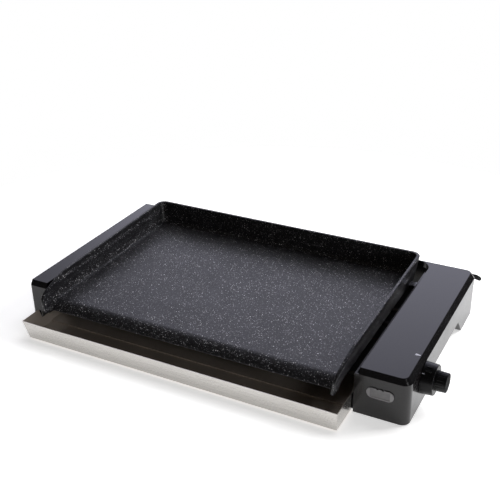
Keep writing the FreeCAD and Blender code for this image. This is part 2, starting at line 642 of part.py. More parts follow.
def is_rim(edge, floor):
    """Edges between the walls' top surface and their two sides."""
    middle = edge.valueAt((edge.FirstParameter + edge.LastParameter) / 2)
    return middle.z > floor + 20 and edge.Length > 8 and edge.BoundBox.ZMin > floor + 8


# ---------------------------------------------------------------- drip tray and its rails
def make_tray():
    """Folded stainless pan: tall front, flared left side, stepped floor, low left side at the back."""
    tray = body("drip_tray", "Dim.tray_left", TRAY_FRONT, "Dim.tray_lift")
    width = "(Dim.tray_right - Dim.tray_left)"
    sheet_t = "Dim.tray_sheet"
    outline = polygon(sketch(tray, "XZ_Plane"), [("0", "0"), (width, "0"), (width, "Dim.tray_height"),
                                                 ("-Dim.tray_flare", "Dim.tray_height")])
    pad(tray, outline, "Dim.tray_length", reverse=True)

    def inside(offset, floor):
        start = f"({floor}) / Dim.tray_height * Dim.tray_flare"
        return polygon(sketch(tray, "XZ_Plane", f"-({offset})"),
                       [(f"{sheet_t} * 1.1 - {start}", floor), (f"{width} - {sheet_t}", floor),
                        (f"{width} - {sheet_t}", "Dim.tray_height + 1"),
                        (f"{sheet_t} * 1.1 - Dim.tray_flare * (Dim.tray_height + 1) / Dim.tray_height",
                         "Dim.tray_height + 1")])

    pocket(tray, inside(sheet_t, sheet_t), f"Dim.tray_step_y - {sheet_t}")
    pocket(tray, inside("Dim.tray_step_y", f"{sheet_t} + Dim.tray_step"),
           f"Dim.tray_length - Dim.tray_step_y - {sheet_t}")
    under = rectangle(sketch(tray, "XY_Plane"), "6", f"Dim.tray_step_y + {sheet_t}",
                      f"{width} - 6", "Dim.tray_length - 6")
    pocket(tray, under, "Dim.tray_step", reverse=True)
    notch = rectangle(sketch(tray, "YZ_Plane", "-Dim.tray_flare - 1"), "Dim.tray_notch_y",
                      "Dim.tray_low_side", "Dim.tray_length + 1", "Dim.tray_height + 1")
    pocket(tray, notch, "Dim.tray_flare + 3", reverse=True)
    back = rectangle(sketch(tray, "XZ_Plane", f"-Dim.tray_length + {sheet_t} + 0.5"),
                     "-Dim.tray_flare - 1", "Dim.tray_low_side", f"{width} + 1", "Dim.tray_height + 1")
    pocket(tray, back, f"{sheet_t} + 2")


def make_rails():
    """Steel angles that carry the tray just above the table."""
    top = "(Dim.rail_height + Dim.rail_sheet)"
    row = (f"{Y_FRONT} + 6", f"{Y_FRONT} + 6 + Dim.rail_length")
    shelf_x = (f"{WELL_RIGHT} - Dim.rail_foot", WELL_RIGHT)
    side_x = (f"{WELL_RIGHT} - Dim.rail_sheet", WELL_RIGHT)
    right = fuse("tray_rail_right", [box("rail_right_shelf", shelf_x, row, ("Dim.rail_height", top)),
                                     box("rail_right_side", side_x, row, ("Dim.rail_height", "24"))])
    keep(right, "tray_rail_right")
    leg = f"({X_LEFT} + Dim.leg_width)"
    left = fuse("tray_rail_left", [
        box("rail_left_shelf", (leg, "Dim.tray_left + Dim.rail_foot"), row, ("Dim.rail_height", top)),
        box("rail_left_side", (leg, f"{leg} + Dim.rail_sheet"), row, ("Dim.rail_height", "18"))])
    keep(left, "tray_rail_left")


# ---------------------------------------------------------------- knob and thermostat
def make_knob():
    """Skirt and grip in one moulding, turned about local X, with grip flutes and a pointer rib."""
    knob = body("control_knob", f"{X_RIGHT} + Dim.knob_gap", "Dim.knob_y", "Dim.knob_z")
    total = "(Dim.knob_reach - Dim.knob_gap)"
    profile = polygon(sketch(knob, "XY_Plane"),
                      [("0", "Dim.skirt_radius - 2"), ("0", "Dim.skirt_radius"),
                       ("Dim.skirt_depth", "Dim.skirt_radius - 1.2"), ("Dim.skirt_depth", "Dim.grip_radius"),
                       (total, "Dim.grip_radius - 0.6"), (total, "0"), ("Dim.skirt_depth - 6", "0"),
                       ("Dim.skirt_depth - 6", "Dim.hub_radius"), ("2.5", "Dim.hub_radius"),
                       ("2.5", "Dim.hub_radius + 2"), ("Dim.skirt_depth - 3", "Dim.hub_radius + 2"),
                       ("Dim.skirt_depth - 3", "Dim.skirt_radius - 2.8")])
    spin = knob.newObject("PartDesign::Revolution", "knob_turned")
    spin.Profile = profile
    spin.ReferenceAxis = (profile, ["H_Axis"])
    spin.Angle = 360
    doc.recompute()
    skirt, depth, reach = dim("skirt_radius"), dim("skirt_depth"), dim("knob_reach") - dim("knob_gap")
    fillet(knob, "1.2", lambda edge: at(edge, "x", depth) and edge.BoundBox.YLength > 2 * skirt - 4)
    fillet(knob, "1.0", lambda edge: at(edge, "x", reach) and edge.BoundBox.YLength > 10)
    # flutes round the grip
    flute = circles(sketch(knob, "YZ_Plane", total), [("Dim.grip_radius + 0.8", "0")], "Dim.flute_radius")
    first = pocket(knob, flute, f"{total} - Dim.skirt_depth - 1.5")
    ring = knob.newObject("PartDesign::PolarPattern", "knob_flutes")
    ring.Originals = [first]
    ring.Axis = (origin_feature(knob, "X_Axis"), [""])
    ring.Angle = 360
    ring.Occurrences = 22
    knob.Tip = ring
    doc.recompute()
    rib = rectangle(sketch(knob, "XZ_Plane", "-1.2"), "1.5", "-Dim.skirt_radius - 1.6",
                    "5.0", "-Dim.skirt_radius + 1.6")
    pad(knob, rib, "2.4")
    bore = circles(sketch(knob, "YZ_Plane", "Dim.skirt_depth - 6"), [("0", "0")], "Dim.shaft_radius")
    pocket(knob, bore, "Dim.hub_depth", reverse=True)


def make_thermostat():
    inner_wall = f"({X_RIGHT} - Dim.wall)"
    row = ("Dim.knob_y - 20", "Dim.knob_y + 20")
    plate = box("bracket_plate", (f"{inner_wall} - 2", inner_wall), row,
                ("Dim.knob_z - 9.5", "Dim.knob_z + 12"))
    hole = cylinder("bracket_hole", ALONG_X, (f"{inner_wall} - 3", "Dim.knob_y", "Dim.knob_z"),
                    "Dim.shaft_hole", "4")
    keep(cut("thermostat_bracket", plate, hole), "thermostat_bracket")
    face = f"({inner_wall} - 2)"
    stat = body("thermostat_body", f"{face} - Dim.stat_depth", "Dim.knob_y", "Dim.knob_z")
    outline = rectangle(sketch(stat, "YZ_Plane"), "-16", "-9.5", "16", "10.5")
    pad(stat, outline, "Dim.stat_depth - Dim.stat_nose")
    pad(stat, circles(sketch(stat, "YZ_Plane", "Dim.stat_depth - Dim.stat_nose"), [("0", "0")], "7"),
        "Dim.stat_nose")
    fillet(stat, "1.5", lambda edge: is_line_along(edge, ALONG_X))
    bore = circles(sketch(stat, "YZ_Plane", "Dim.stat_depth"), [("0", "0")],
                   "Dim.shaft_radius + Dim.shaft_fit")
    pocket(stat, bore, "10")
    for low, high in (("-11", "-5"), ("5", "11")):
        pad(stat, rectangle(sketch(stat, "XY_Plane", "10.5"), "3", low, "3.8", high), "6")
    # turning shaft with a flat where the knob's clip grips it
    shaft = body("thermostat_shaft", f"{face} - 9.5", "Dim.knob_y", "Dim.knob_z")
    reach = f"({X_RIGHT} + Dim.knob_gap + Dim.skirt_depth + 2) - ({face} - 9.5)"
    pad(shaft, circles(sketch(shaft, "YZ_Plane"), [("0", "0")], "Dim.shaft_radius"), reach)
    flat = rectangle(sketch(shaft, "XY_Plane", "Dim.shaft_radius"), "20", "-4", "40", "4")
    pocket(shaft, flat, "0.9")
    # steel clip on the shaft's flat, inside the knob's hub
    clip_x = f"({X_RIGHT} + Dim.knob_gap + Dim.skirt_depth - 6 + 1)"
    clip = box("knob_spring_clip", (clip_x, f"{clip_x} + 6"), ("Dim.knob_y - 1.6", "Dim.knob_y + 1.6"),
               ("Dim.knob_z + Dim.shaft_radius - 0.9", "Dim.knob_z + Dim.shaft_radius - 0.2"))
    keep(clip, "knob_spring_clip")
    # sensing bulb under the plate, its clip, and the thin tube that leads to it
    bulb = cylinder("thermostat_bulb", ALONG_X, (BULB_X, BULB_Y, BULB_Z), "Dim.bulb_radius",
                    "Dim.bulb_length")
    keep(bulb, "thermostat_bulb")
    clip_low, clip_high = f"{BULB_X} + Dim.bulb_length / 2 - 6", f"{BULB_X} + Dim.bulb_length / 2 + 6"
    block = box("bulb_clip_block", (clip_low, clip_high), (f"{BULB_Y} - 6", f"{BULB_Y} + 6"),
                (REFLECTOR_TOP, BULB_Z))
    groove = cylinder("bulb_clip_groove", ALONG_X, (f"{clip_low} - 1", BULB_Y, BULB_Z),
                      "Dim.bulb_radius", "14")
    keep(cut("bulb_clip", block, groove), "bulb_clip")
    x_stat = (dim("base_width") - dim("knob_reach")) / 2 - dim("wall") - 2 - dim("stat_depth")
    wall_y, wall_z = float(CAPILLARY_Y), float(CAPILLARY_Z)
    bulb_y, bulb_z = float(BULB_Y), float(BULB_Z)
    bulb_end = float(BULB_X) + dim("bulb_length")
    stat_y = dim("knob_y") + 4
    route = [VECTOR(x_stat, stat_y, wall_z + 1), VECTOR(x_stat - 14, stat_y, wall_z + 1),
             VECTOR(x_stat - 26, wall_y - 22, wall_z + 0.5), VECTOR(x_stat - 38, wall_y, wall_z),
             VECTOR(x_stat - 58, wall_y, wall_z), VECTOR(190, wall_y + 2, 39),
             VECTOR(160, wall_y + 22, 38.5), VECTOR(132, bulb_y - 2, 40),
             VECTOR(bulb_end + 14, bulb_y, bulb_z), VECTOR(bulb_end, bulb_y, bulb_z)]
    shape("capillary_tube", tube(route, dim("capillary_radius"), run_radii(route))[0])


# ---------------------------------------------------------------- indicator
def make_indicator():
    lens = body("indicator_lens", "Dim.lens_x", Y_FRONT, "Dim.lens_z")
    half_w, half_h = "Dim.lens_width / 2", "Dim.lens_high / 2"
    outline = rectangle(sketch(lens, "XZ_Plane"), f"-{half_w}", f"-{half_h}", half_w, half_h)
    pad(lens, outline, "Dim.lens_proud")
    fillet(lens, "Dim.lens_high / 2 - 0.05", lambda edge: is_line_along(edge, ALONG_Y))
    inset = "(Dim.lens_rim + 0.1)"
    neck = rectangle(sketch(lens, "XZ_Plane"), f"-{half_w} + {inset}", f"-{half_h} + {inset}",
                     f"{half_w} - {inset}", f"{half_h} - {inset}")
    pad(lens, neck, "Dim.wall + 0.5", reverse=True)
    recess = rectangle(sketch(lens, "XZ_Plane", "Dim.lens_proud"), f"-{half_w} + 5", f"-{half_h} + 1.6",
                       f"{half_w} - 5", f"{half_h} - 1.6")
    pocket(lens, recess, "0.7")
    front = -dim("lens_proud")
    long_enough = dim("lens_width") / 4
    fillet(lens, "0.4", lambda edge: at(edge, "y", front) and edge.BoundBox.XLength > long_enough)
    for x in ("-Dim.lamp_spacing / 2", "Dim.lamp_spacing / 2"):
        notch = rectangle(sketch(lens, "XZ_Plane", "Dim.lens_proud"), f"{x} - Dim.notch_width / 2",
                          f"{half_h} - Dim.notch_depth", f"{x} + Dim.notch_width / 2", f"{half_h} + 1")
        pocket(lens, notch, "Dim.lens_proud")
    # holder with two neon lamps behind the lens
    holder_y = f"({Y_FRONT} + Dim.wall + 0.5)"
    block = box("holder_block", ("Dim.lens_x - Dim.holder_width / 2", "Dim.lens_x + Dim.holder_width / 2"),
                (holder_y, f"{holder_y} + Dim.holder_depth"), ("Dim.lens_z - 5", "Dim.lens_z + 8"))
    lamps, bores = [], []
    lamp_z = "Dim.lens_z + Dim.lamp_rise"
    for side in ("-", "+"):
        x = f"Dim.lens_x {side} Dim.lamp_spacing / 2"
        bores.append(cylinder(f"lamp_bore_{len(bores)}", ALONG_Y, (x, f"{holder_y} - 1", lamp_z),
                              "Dim.lamp_radius + 0.1", "Dim.holder_depth + 2"))
        lamps.append(cylinder(f"lamp_{len(lamps)}", ALONG_Y, (x, holder_y, lamp_z),
                              "Dim.lamp_radius", "Dim.holder_depth + 3"))
    keep(cut("lamp_holder", block, fuse("lamp_bores", bores)), "lamp_holder")
    group("indicator_lamps", lamps)


# ---------------------------------------------------------------- wiring
def run_radii(points):
    """The largest arc that each corner's two runs allow: 0.45 of the shorter run over tan(turn / 2)."""
    radii = [0.0] * len(points)
    for i in range(1, len(points) - 1):
        before, after = points[i] - points[i - 1], points[i + 1] - points[i]
        radii[i] = 0.45 * min(before.Length, after.Length) / math.tan(before.getAngle(after) / 2)
    return radii


def make_wiring():
    block = body("terminal_block", "Dim.block_x", "Dim.block_y", DECK_TOP)
    pad(block, rectangle(sketch(block, "XY_Plane"), "0", "0", "Dim.block_width", "Dim.block_depth"),
        "Dim.block_height")
    centre = ("Dim.block_width / 2 - Dim.well_pitch", "Dim.block_depth / 2")
    screw_well = circles(sketch(block, "XY_Plane", "Dim.block_height"), [centre], "Dim.well_radius")
    first = pocket(block, screw_well, "Dim.well_depth")
    row = block.newObject("PartDesign::LinearPattern", "terminal_wells")
    row.Originals = [first]
    row.Direction = (origin_feature(block, "X_Axis"), [""])
    row.Occurrences = 3
    row.setExpression("Length", "2 * Dim.well_pitch")
    block.Tip = row
    end_x = dim("plate_right") + dim("tube_reach") + dim("terminal_length")
    exit_front, exit_back = (float(y) for y in ELEMENT_EXITS)
    level = dim("tube_height")
    block_front, block_back = dim("block_y"), dim("block_y") + dim("block_depth")
    gland_y, tag_z, lamp_back = 185, 55, -124
    near_tag, far_tag = dim("knob_y") + 8, dim("knob_y") - 8
    live_in = [(252, block_back, 38), (252, 142, 38), (261, 156, 39.5), (273.5, 172, 38),
               (273.5, gland_y, 38)]
    return_in = [(263, block_back, 38), (263, 142, 38), (270, 156, 37), (278.5, 172, 38),
                 (278.5, gland_y, 38)]
    block_to_element = [(252, block_front, 38), (252, 96, 38), (254, 82, 43), (257, 70, level),
                        (253, exit_back, level), (end_x, exit_back, level)]
    element_to_switch = [(end_x, exit_front, level), (253, exit_front, level), (262, 6, 47), (270, -25, 50),
                         (280, -52, tag_z), (281, near_tag, tag_z), (271.3, near_tag, tag_z)]
    block_to_switch = [(263, block_front, 38), (263, 96, 38), (272, 70, 42), (284, 30, 46), (285, -20, 50),
                       (286, -60, tag_z), (285, far_tag, tag_z), (271.3, far_tag, tag_z)]
    lamp_to_far_tag = [(251, lamp_back, 44), (251, -114, 44), (254, -102, 50), (260, far_tag, tag_z),
                       (270.5, far_tag, tag_z)]
    lamp_to_near_tag = [(258.6, lamp_back, 44), (258.6, -113, 44), (258, -98, 47), (260, -80, 51),
                        (264, near_tag, tag_z), (270.5, near_tag, tag_z)]
    wires = []
    for lead in (live_in, return_in, block_to_element, element_to_switch, block_to_switch,
                 lamp_to_far_tag, lamp_to_near_tag):
        points = [VECTOR(*point) for point in lead]
        wires.append(tube(points, dim("wire_radius"), run_radii(points))[0])
    shape("internal_wires", Part.Compound(wires))
    tag = fuse("earth_tag", [
        box("tag_blade", (f"{WELL_RIGHT} + Dim.wall", f"{WELL_RIGHT} + Dim.wall + 1"),
            ("140", "154"), ("36", "44")),
        cylinder("tag_nut", ALONG_X, (f"{WELL_RIGHT} + Dim.wall + 1", "147", "40"), "3.2", "2.4")])
    keep(tag, "earth_tag")


# ---------------------------------------------------------------- feet and screws
RIGHT_FEET = [("62", "31"), ("62", "306")]
LEFT_FEET = [("5.5", "31"), ("5.5", "306")]
RIGHT_POSTS = [("10", "15"), ("66", "18"), ("10", "313"), ("66", "270")]
LEFT_POSTS = [("16.5", "20"), ("16.5", "306")]


def screw(name, axis, base, head_radius, radius, length):
    """A round-head screw whose head starts at base and whose shank runs on along the axis."""
    shank = [f"({value}) + Dim.head_height" if direction else value
             for value, direction in zip(base, (axis.x, axis.y, axis.z))]
    return fuse(name, [cylinder(name + "_head", axis, base, head_radius, "Dim.head_height"),
                       cylinder(name + "_shank", axis, tuple(shank), radius, length)])


def make_feet():
    feet = []
    for x, y in RIGHT_FEET:
        feet.append(cylinder(f"foot_{len(feet)}", UP, (f"{WELL_RIGHT} + {x}", f"{Y_FRONT} + {y}", "0"),
                             "Dim.foot_radius", "Dim.ground_gap + Dim.foot_seat"))
    for x, y in LEFT_FEET:
        feet.append(cylinder(f"foot_{len(feet)}", UP, (f"{X_LEFT} + {x}", f"{Y_FRONT} + {y}", "0"),
                             "Dim.small_foot_radius", "Dim.ground_gap + Dim.foot_seat"))
    group("rubber_feet", feet)


def make_screws():
    frame_screws = []
    for start, posts in ((X_LEFT, LEFT_POSTS), (WELL_RIGHT, RIGHT_POSTS)):
        for x, y in posts:
            base = (f"{start} + {x}", f"{Y_FRONT} + {y}", "Dim.deck_height - Dim.head_height")
            frame_screws.append(screw(f"frame_screw_{len(frame_screws)}", UP, base,
                                      "Dim.screw_head", "Dim.screw_shank", "Dim.screw_length"))
    group("frame_screws", frame_screws)
    bar_screws = []
    for bar_y in ("Dim.bar_front_y", "Dim.bar_back_y"):
        y = f"({bar_y} + Dim.bar_width / 2)"
        height = "Dim.bar_height + 9"
        bar_screws.append(screw(f"bar_screw_{len(bar_screws)}", ALONG_X, (f"{WELL_RIGHT} - 4", y, height),
                                "Dim.bolt_head", "Dim.bolt_shank", "Dim.bolt_length"))
        head = cylinder(f"bar_screw_{len(bar_screws)}_head", ALONG_X,
                        (f"{WELL_LEFT} + Dim.bar_tab_thick", y, height), "Dim.bolt_head", "Dim.head_height")
        stem = cylinder(f"bar_screw_{len(bar_screws)}_stem", ALONG_X,
                        (f"{WELL_LEFT} + Dim.bar_tab_thick - Dim.bolt_length", y, height),
                        "Dim.bolt_shank", "Dim.bolt_length")
        bar_screws.append(fuse(f"bar_screw_{len(bar_screws)}", [head, stem]))
    group("crossbar_screws", bar_screws)


# ---------------------------------------------------------------- cord, coil and plug
# the lead's way down to the table, past the end of the straight stretch behind the relief
DROOP = [(280.8, 243.6, 32.8), (285, 257.6, 22.6), (284.5, 271.9, 13.4), (277.5, 285.8, 6.9),
         (265.7, 296.8, 3.8)]
# its way along the table to the coil
TABLE_RUN = [(250.2, 302.9), (230.2, 302.4), (211.2, 299.2), (190.4, 296.6), (169.4, 295.4),
             (148.4, 295.4)]


def make_cord():
    relief = body("strain_relief", "Dim.exit_x", Y_BACK, "Dim.exit_z")
    profile = polygon(sketch(relief, "XY_Plane"),
                      [("0", "-Dim.wall - 1.5"), ("Dim.cord_radius + 2.6", "-Dim.wall - 1.5"),
                       ("Dim.cord_radius + 2.6", "-Dim.wall"), ("Dim.cord_radius + 1.6", "-Dim.wall"),
                       ("Dim.cord_radius + 1.6", "0"), ("Dim.cord_radius + 3.6", "0"),
                       ("Dim.cord_radius + 3.6", "2.5"), ("Dim.cord_radius + 2", "3.5"),
                       ("Dim.cord_radius + 0.6", "Dim.relief_length"), ("0", "Dim.relief_length")])
    spin = relief.newObject("PartDesign::Revolution", "relief_turned")
    spin.Profile = profile
    spin.ReferenceAxis = (profile, ["V_Axis"])
    spin.Angle = 360

    # the lead droops to the table, turns behind the base and runs to its coil
    tip_y = (dim("tray_reach") + dim("base_depth")) / 2 + dim("relief_length")
    lying = dim("cord_radius") + 0.1
    coil_x, coil_y, coil_r = dim("coil_x"), dim("coil_y"), dim("coil_radius")
    outer = coil_r + dim("cord_radius")
    route = [VECTOR(dim("exit_x"), y, dim("exit_z")) for y in (tip_y, tip_y + 17.5)]
    route += [VECTOR(*point) for point in DROOP]
    route += [VECTOR(x, y, lying) for x, y in TABLE_RUN]
    route.append(VECTOR(coil_x + 18, coil_y + 39.6, lying))
    radii = run_radii(route)
    print("cord arc radii", [round(value, 1) for value in radii[1:-1]])
    solid, length = tube(route, dim("cord_radius"), radii)
    shape("mains_cord", solid)
    print("cord length to the coil", round(length, 1))

    # outer form of the coil, and the tail from its top turn to the plug
    height = 6 * dim("cord_radius")
    ring = Part.makeCylinder(outer + dim("cord_radius"), height, VECTOR(coil_x, coil_y, 0))
    hole = Part.makeCylinder(coil_r - 2 * dim("cord_radius"), height, VECTOR(coil_x, coil_y, 0))
    shape("cord_coil", ring.cut(hole))
    axis_z = dim("plug_radius") + 0.1
    entry = VECTOR(coil_x - 66, coil_y + 18, axis_z)
    tail = [VECTOR(coil_x - 31.5, coil_y + 30.5, height - dim("cord_radius")),
            VECTOR(coil_x - 42, coil_y + 22.5, height - 4), VECTOR(coil_x - 54, coil_y + 18.2, axis_z - 1.1),
            entry]
    tail_radii = run_radii(tail)
    print("tail arc radii", [round(value, 1) for value in tail_radii[1:-1]])
    solid, tail_length = tube(tail, dim("cord_radius"), tail_radii)
    shape("mains_cord_tail", solid)
    print("tail length", round(tail_length, 1))
    plug = body("plug_body", str(entry.x), str(entry.y), str(entry.z))
    profile = polygon(sketch(plug, "XY_Plane"),
                      [("0", "0"), ("0", "5"), ("-9", "7"), ("-14", "13"), ("-19", "Dim.plug_radius - 3"),
                       ("-27", "Dim.plug_radius - 3"), ("-30", "Dim.plug_radius"),
                       ("-Dim.plug_length", "Dim.plug_radius"), ("-Dim.plug_length", "0")])
    spin = plug.newObject("PartDesign::Revolution", "plug_turned")
    spin.Profile = profile
    spin.ReferenceAxis = (profile, ["H_Axis"])
    spin.Angle = 360
    pins = [cylinder(f"plug_pin_{index}", ALONG_X,
                     (f"{entry.x} - Dim.plug_length - Dim.pin_length",
                      f"{entry.y} {side} Dim.pin_offset", str(entry.z)), "Dim.pin_radius", "Dim.pin_length")
            for index, side in enumerate(("-", "+"))]
    group("plug_pins", pins)


# ---------------------------------------------------------------- build, check and write
def check_document():
    doc.recompute()
    for item in doc.Objects:
        if "Invalid" in item.State or "Error" in item.State:
            raise RuntimeError(f"{item.Label} failed: {item.State}")
    for item in pieces:
        if item.Shape.isNull() or not item.Shape.isValid():
            raise RuntimeError(f"{item.Label} has no valid shape")


def write_pieces():
    os.makedirs("parts", exist_ok=True)
    for item in pieces:
        item.Shape.exportStep(f"parts/{item.Label}.step")
        print(f"{item.Label}: {len(item.Shape.Solids)} solid(s), {item.Shape.Volume / 1000:.2f} cm3")


make_control_housing()
make_left_housing()
make_top_frame()
make_rear_panel()
make_crossbar("front_crossbar", "Dim.bar_front_y")
make_crossbar("rear_crossbar", "Dim.bar_back_y")
make_reflector()
make_element()
make_supports()
make_plate()
make_tray()
make_rails()
make_knob()
make_thermostat()
make_indicator()
make_wiring()
make_feet()
make_screws()
make_cord()
check_document()
write_pieces()
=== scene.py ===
import math

import bpy
from mathutils import Matrix, Vector


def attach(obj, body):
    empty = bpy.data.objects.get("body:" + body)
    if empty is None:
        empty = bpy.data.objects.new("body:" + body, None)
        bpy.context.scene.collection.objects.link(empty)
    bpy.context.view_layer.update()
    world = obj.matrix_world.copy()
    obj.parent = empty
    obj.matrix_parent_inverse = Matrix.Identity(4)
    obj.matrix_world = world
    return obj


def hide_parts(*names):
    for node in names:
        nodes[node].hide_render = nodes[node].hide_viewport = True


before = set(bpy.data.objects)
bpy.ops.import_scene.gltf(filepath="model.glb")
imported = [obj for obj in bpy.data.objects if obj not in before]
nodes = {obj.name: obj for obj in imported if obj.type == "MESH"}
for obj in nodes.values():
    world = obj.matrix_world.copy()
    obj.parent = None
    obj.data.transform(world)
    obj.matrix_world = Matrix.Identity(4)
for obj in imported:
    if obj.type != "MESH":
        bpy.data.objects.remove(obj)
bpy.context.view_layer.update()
MM = 0.001


# ---------------------------------------------------------------- camera
CAMERA_PLACE = (0.5322, -1.018, 0.7179)
CAMERA_RIGHT, CAMERA_BACK = (0.8874, 0.4607, -0.0174), (0.4174, -0.7868, 0.4548)
CAMERA_LENS, CAMERA_SENSOR = 61.56, 36.0


def make_camera():
    data = bpy.data.cameras.new("camera")
    data.lens, data.sensor_width = CAMERA_LENS, CAMERA_SENSOR
    data.clip_start, data.clip_end = 0.05, 60.0
    camera = bpy.data.objects.new("camera", data)
    bpy.context.scene.collection.objects.link(camera)
    back = Vector(CAMERA_BACK).normalized()
    up = back.cross(Vector(CAMERA_RIGHT).normalized()).normalized()
    turn = Matrix((up.cross(back), up, back)).transposed().to_4x4()
    camera.matrix_world = Matrix.Translation(CAMERA_PLACE) @ turn
    bpy.context.scene.camera = camera


make_camera()


# ---------------------------------------------------------------- material graphs
class Nodes:
    """Short calls for the shader nodes that the materials and the world are made of."""

    def __init__(self, tree, coordinates):
        self.tree = tree
        self.place = tree.nodes.new("ShaderNodeTexCoord").outputs[coordinates]

    def link(self, source, target):
        self.tree.links.new(source, target)

    def stretched(self, scale):
        node = self.tree.nodes.new("ShaderNodeMapping")
        node.inputs["Scale"].default_value = scale
        self.link(self.place, node.inputs["Vector"])
        return node.outputs["Vector"]

    def along(self, axis):
        """One coordinate: metres on an object, or part of the direction in the world."""
        node = self.tree.nodes.new("ShaderNodeSeparateXYZ")
        self.link(self.place, node.inputs["Vector"])
        return node.outputs[axis]

    def noise(self, scale, detail=3.0, stretch=None):
        node = self.tree.nodes.new("ShaderNodeTexNoise")
        node.inputs["Scale"].default_value = scale
        node.inputs["Detail"].default_value = detail
        self.link(self.stretched(stretch) if stretch else self.place, node.inputs["Vector"])
        return node.outputs["Fac"]

    def cells(self, scale):
        node = self.tree.nodes.new("ShaderNodeTexVoronoi")
        node.inputs["Scale"].default_value = scale
        self.link(self.place, node.inputs["Vector"])
        return node

    def remap(self, source, low, high, to_low=0.0, to_high=1.0, smooth=False):
        node = self.tree.nodes.new("ShaderNodeMapRange")
        node.interpolation_type = "SMOOTHSTEP" if smooth else "LINEAR"
        for name, value in (("From Min", low), ("From Max", high), ("To Min", to_low), ("To Max", to_high)):
            node.inputs[name].default_value = value
        self.link(source, node.inputs["Value"])
        return node.outputs["Result"]

    def math(self, kind, first, second):
        node = self.tree.nodes.new("ShaderNodeMath")
        node.operation = kind
        for socket, value in zip(node.inputs, (first, second)):
            if isinstance(value, (int, float)):
                socket.default_value = value
            else:
                self.link(value, socket)
        return node.outputs["Value"]

    def mix(self, share, first, second):
        node = self.tree.nodes.new("ShaderNodeMix")
        node.data_type = "RGBA"
        self.link(share, node.inputs["Factor"])
        for socket, value in ((node.inputs[6], first), (node.inputs[7], second)):
            if isinstance(value, tuple):
                socket.default_value = (*value, 1)
            else:
                self.link(value, socket)
        return node.outputs[2]


class Graph(Nodes):
    """A node material built around one Principled shader, in object coordinates."""

    def __init__(self, name, color, roughness, metallic=0.0, ior=1.5):
        self.material = bpy.data.materials.new(name)
        self.material.use_nodes = True
        super().__init__(self.material.node_tree, "Object")
        self.shader = self.tree.nodes["Principled BSDF"]
        inputs = self.shader.inputs
        inputs["Base Color"].default_value = (*color, 1)
        inputs["Roughness"].default_value = roughness
        inputs["Metallic"].default_value = metallic
        inputs["IOR"].default_value = ior
        self.normal = None

    def bump(self, height, strength, distance):
        node = self.tree.nodes.new("ShaderNodeBump")
        node.inputs["Strength"].default_value = strength
        node.inputs["Distance"].default_value = distance
        self.link(height, node.inputs["Height"])
        if self.normal is not None:
            self.link(self.normal, node.inputs["Normal"])
        self.normal = node.outputs["Normal"]

    def finish(self, color=None, roughness=None):
        if color is not None:
            self.link(color, self.shader.inputs["Base Color"])
        if roughness is not None:
            self.link(roughness, self.shader.inputs["Roughness"])
        if self.normal is not None:
            self.link(self.normal, self.shader.inputs["Normal"])
        return self.material


def moulded(name, color, roughness, grain=2200.0, depth=0.00003, ior=1.5, spread=0.05, matt_from=None):
    """Moulded plastic: fine spark-eroded grain, faint tone clouds, and a trace of handling marks.

    Along X, the surface turns duller between the two ends of matt_from.
    """
    g = Graph(name, color, roughness, ior=ior)
    cloud = g.noise(18.0, detail=4.0)
    fine = g.noise(grain, detail=2.0)
    marks = g.remap(g.noise(95.0, detail=6.0), 0.56, 0.75)
    lighter = tuple(min(1.0, c * 1.25 + 0.001) for c in color)
    tone = g.mix(g.remap(cloud, 0.35, 0.7), color, lighter)
    rough = g.math("ADD", g.remap(cloud, 0.3, 0.7, roughness - spread, roughness + spread),
                  g.remap(marks, 0.0, 1.0, 0.0, spread))
    if matt_from is not None:
        rough = g.math("ADD", rough, g.remap(g.along("X"), *matt_from, 0.0, 0.5))
    g.bump(fine, strength=0.35, distance=depth)
    g.bump(g.noise(60.0, detail=2.0), strength=0.15, distance=0.00012)
    return g.finish(tone, rough)


def rolled(name, color, roughness, stretch, scale=900.0, depth=0.00001, tint=0.12, spread=0.08):
    """Rolled or brushed metal: streaks along one direction, clouds, and fine scratches."""
    g = Graph(name, color, roughness, metallic=1.0)
    streak = g.noise(scale, detail=3.0, stretch=stretch)
    wide = g.noise(scale / 12, detail=3.0, stretch=stretch)
    cloud = g.noise(14.0, detail=4.0)
    darker = tuple(c * (1 - tint) for c in color)
    share = g.math("MULTIPLY", g.remap(streak, 0.3, 0.7), g.remap(cloud, 0.25, 0.75, 0.5, 1.0))
    tone = g.mix(share, color, darker)
    rough = g.math("ADD", g.remap(streak, 0.3, 0.7, roughness - spread / 2, roughness + spread),
                  g.remap(wide, 0.35, 0.7, 0.0, spread / 2))
    g.bump(streak, strength=0.3, distance=depth)
    return g.finish(tone, rough)


def pan_steel(name):
    """Bright sheet with a brushed front face and a duller, warmer inside."""
    g = Graph(name, (0.62, 0.60, 0.575), 0.24, metallic=1.0)
    inside = g.math("MULTIPLY", g.remap(g.along("Y"), *TRAY_FRONT),
                    g.remap(g.along("X"), *TRAY_SIDE, 1.0, 0.0))
    streak = g.noise(900.0, detail=3.0, stretch=ALONG_X)
    cloud = g.noise(14.0, detail=4.0)
    # the inside takes a warmer, browner tone, clouded between two given colours
    warm_inside_tone = g.mix(g.remap(cloud, 0.3, 0.7), (0.60, 0.53, 0.47), (0.48, 0.42, 0.37))
    tone = g.mix(g.remap(streak, 0.3, 0.7), (0.62, 0.60, 0.575), (0.55, 0.53, 0.505))
    brushed = g.remap(streak, 0.3, 0.7, 0.2, 0.3)
    dull = g.math("MULTIPLY", inside, g.remap(cloud, 0.3, 0.7, 0.24, 0.34))
    g.link(g.remap(inside, 0.0, 1.0, 1.0, 0.45), g.shader.inputs["Metallic"])
    g.bump(streak, strength=0.3, distance=0.00001)
    return g.finish(g.mix(inside, tone, warm_inside_tone), g.math("ADD", brushed, dull))


